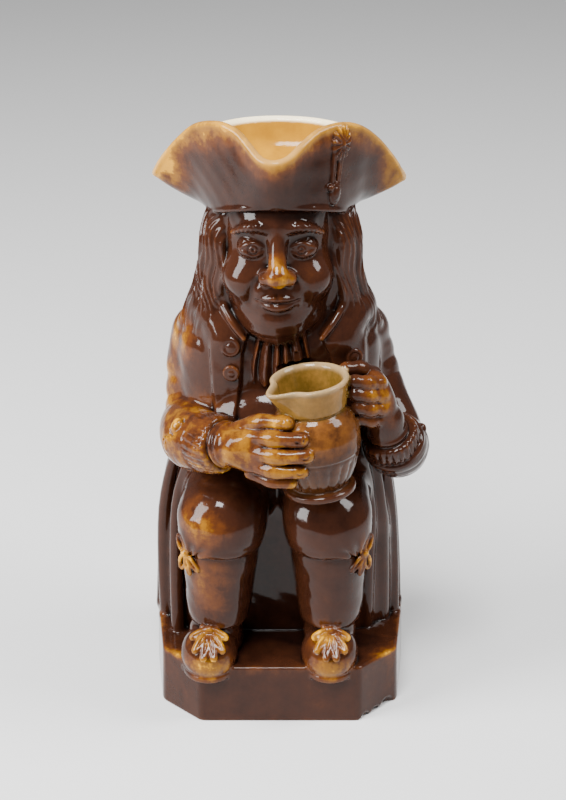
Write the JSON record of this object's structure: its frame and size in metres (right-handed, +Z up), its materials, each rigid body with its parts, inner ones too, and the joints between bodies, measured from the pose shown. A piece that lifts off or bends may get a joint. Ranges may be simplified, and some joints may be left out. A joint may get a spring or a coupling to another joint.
{
  "type": "toby jug",
  "caption": "Hollow glazed jug shaped as a seated man in a tricorn hat, open at the hat, with a small jug on his knee and a loop handle behind.",
  "frame": {"origin": "middle of the plinth's underside, below the middle of the hat", "axes": "+Z up through the hat's mouth; the figure faces -Y and the handle is on the +Y side; +X is on the viewer's right from the front"},
  "size_m": [0.1132, 0.1366, 0.25],
  "materials": {
    "treacle_glaze": "gloss"
  },
  "bodies": {
    "root": {"toby_jug": "treacle_glaze"}
  },
  "joints": []
}
